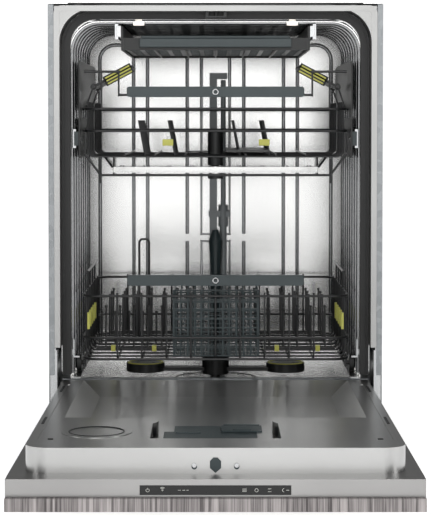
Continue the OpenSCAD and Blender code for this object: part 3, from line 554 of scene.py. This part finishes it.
# place, width and height above the middle, in millimetres
marks += [dash(x * MM, w * MM, up * MM) for x, w, up in (
    (-53, 4, 0), (-47, 4, 0), (-41, 3, 0), (38, 6, 1.8), (38, 6, 0), (38, 6, -1.8), (74, 5, 2), (74, 5, -2),
    (100, 4, 0))]
tubes("display_marks", marks, 0.28 * MM, white_pp, "door")
print("marks:", len(marks))

# %% [markdown]
# ## Door details
# The vent has a dark gap round it, and the liner has screws and slots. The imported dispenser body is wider
# than the real one, so two steel plates cover its outer parts.

# %% Door details
low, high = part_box("vent_cap")
vent = ((low[0] + high[0]) / 2, (low[1] + high[1]) / 2)
vent_edge = circle((*vent, high[2] + 0.0002), (high[0] - low[0]) / 2 + 0.0010)
tubes("vent_shadow_gap", [vent_edge], 1.3 * MM, black_pp, "door", closed=True)
low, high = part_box("door_lock")
screw_z = (low[2] + high[2]) / 2
heads = [[(s * 0.0304, low[1] + 0.001, screw_z), (s * 0.0304, low[1] - 0.0002, screw_z)] for s in (-1, 1)]
tubes("liner_screws", heads, 3.3 * MM, chromed_rail, "door")
low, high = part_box("door_liner")
edge_marks = [((s * 0.243 - 0.004, low[1] + 0.066, high[2] - 0.001),
               (s * 0.243 + 0.004, low[1] + 0.072, high[2] + 0.0002)) for s in (-1, 1)]
slots = [((s * 0.2675 - 0.002, y, high[2] - 0.001), (s * 0.2675 + 0.002, y + 0.060, high[2] + 0.0002))
         for s in (-1, 1) for y in (low[1] + 0.20, high[1] - 0.14)]
blocks("liner_slots", edge_marks + slots, black_pp, "door", soft_mm=0.1)
low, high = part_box("dispenser_body")
plate_top = high[2] + 0.0005
plates = [((s * 0.0745 - 0.0115, low[1], plate_top - 0.0015), (s * 0.0745 + 0.0115, high[1], plate_top))
          for s in (-1, 1)]
blocks("dispenser_side_plates", plates, liner_stainless, "door", soft_mm=0.5)
ridges = [((x, low[1] + 0.004, plate_top - 0.001), (x + 0.0012, low[1] + 0.016, plate_top + 0.0008))
          for x in [-0.058 + i * 0.004 for i in range(12)]]
blocks("dispenser_ridges", ridges, black_pp, "door", soft_mm=0.2)
print("door details done")

# %% [markdown]
# ## Handles and racks
# Each rack handle has a plain ring in place of a mark. A tall wire hoop, two clips and the fine grid of
# the cutlery basket are bars too thin to be worth packing.

# %% Handles and racks
for node, body in (("upper_rack_handle", "upper_rack"), ("lower_rack_handle", "lower_rack")):
    low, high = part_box(node)
    middle = (0, low[1] - 0.0001, (low[2] + high[2]) / 2)
    tubes(node + "_badge", [circle(middle, 0.0046, "y")], 1.7 * MM, chromed_rail, body, closed=True)
low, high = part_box("lower_rack_wires")
hoop_low, hoop_top, hoop_y = low[2] + 0.033, low[2] + 0.22, high[1] - 0.150
hoop = [(-0.149, hoop_y, hoop_low), (-0.149, hoop_y, hoop_top), (-0.145, hoop_y, hoop_top + 0.005),
        (-0.134, hoop_y, hoop_top + 0.005), (-0.130, hoop_y, hoop_top), (-0.130, hoop_y, hoop_low)]
tubes("tall_plate_hoop", [hoop], 2.4 * MM, nylon_wire, "lower_rack")
low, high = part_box("upper_rack_wires")
clip_y, clip_z = low[1] + 0.066, high[2] - 0.137
clips = [((x, clip_y, clip_z), (x + 0.020, clip_y + 0.007, clip_z + 0.012)) for x in (-0.098, 0.080)]
blocks("upper_rack_clips", clips, lime_pp, "upper_rack", soft_mm=1)

low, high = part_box("cutlery_basket")
front = low[1] + 0.0002
PITCH_ACROSS, PITCH_UP, GRID_BAR = 0.0072, 0.0076, 0.0014
column_count = int((high[0] - low[0] - 0.012) / PITCH_ACROSS)
row_count = int((high[2] - low[2] - 0.034) / PITCH_UP)
columns = [low[0] + 0.006 + i * PITCH_ACROSS for i in range(column_count)]
rows = [low[2] + 0.006 + i * PITCH_UP for i in range(row_count)]
upright = [((x, front, low[2] + 0.004), (x + GRID_BAR, front + 0.0016, high[2] - 0.004)) for x in columns]
level = [((low[0] + 0.004, front, z), (high[0] - 0.004, front + 0.0014, z + GRID_BAR)) for z in rows]
band = [((low[0] + 0.004, front, high[2] - 0.024), (high[0] - 0.004, front + 0.0018, high[2] - 0.020))]
blocks("basket_fine_grid", upright + level + band, dark_slate_pp, "basket", soft_mm=0.2)
print("basket grid:", column_count, "by", row_count)

# %% [markdown]
# ## Top of the opening
# The flange is one sheet whose opening has round upper corners. A flat plate fills each corner, and a
# dark block stands for the slot in the top frame.

# %% Top of the opening


def flat_plate(name, outline, thickness, material, body):
    """A flat plate whose front outline is given, made thick towards the back."""
    mesh = bpy.data.meshes.new(name)
    mesh.from_pydata(outline, [], [tuple(range(len(outline)))])
    mesh.materials.append(material)
    piece = ride(bpy.data.objects.new(name, mesh), body)
    thick = piece.modifiers.new("thick", "SOLIDIFY")
    thick.thickness = thickness
    thick.offset = 0
    return piece


flange_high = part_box("front_flange")[1]
side_x, side_top, hole = flange_high[0] - 0.001, flange_high[2] - 0.001, 0.062
turn_x, turn_z = side_x - 0.0685, side_top - 0.0645
corner_y = CABINET_FRONT + 0.002
for s, name in ((-1, "left"), (1, "right")):
    arc_points = [(s * (turn_x + hole * math.cos(math.radians(a))), corner_y,
                   turn_z + hole * math.sin(math.radians(a))) for a in range(0, 91, 9)]
    corner = [(s * turn_x, corner_y, side_top), (s * side_x, corner_y, side_top),
              (s * side_x, corner_y, turn_z)]
    flat_plate(f"flange_corner_{name}", corner + arc_points, 0.8 * MM, flange_stainless, "cabinet")
low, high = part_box("top_frame")
slot_z, slot_y = high[2] - 0.007, CABINET_FRONT - 0.0003
dark_slot = [((-0.262, slot_y, slot_z), (0.262, slot_y + 0.001, slot_z + 0.0018))]
blocks("top_slot", dark_slot, black_pp, "cabinet", soft_mm=0.1)
print("pieces done")

# %% [markdown]
# ## Floor finish
# A white studio floor gives off a little light, so that its far edge doesn't show.

# %% Floor finish
floor_paint, floor_tree, floor_surface, floor_place = finish("white_studio_floor", Roughness=0.7)
floor_tone = colour_between(floor_tree, noise(floor_tree, floor_place, 300), "#f0f0f0", "#f6f6f6")
floor_surface.inputs["Emission Color"].default_value = (1, 1, 1, 1)
floor_surface.inputs["Emission Strength"].default_value = 0.75
floor_tree.links.new(floor_tone, floor_surface.inputs["Base Color"])
floor_mesh.materials.append(floor_paint)
print("floor finish done")
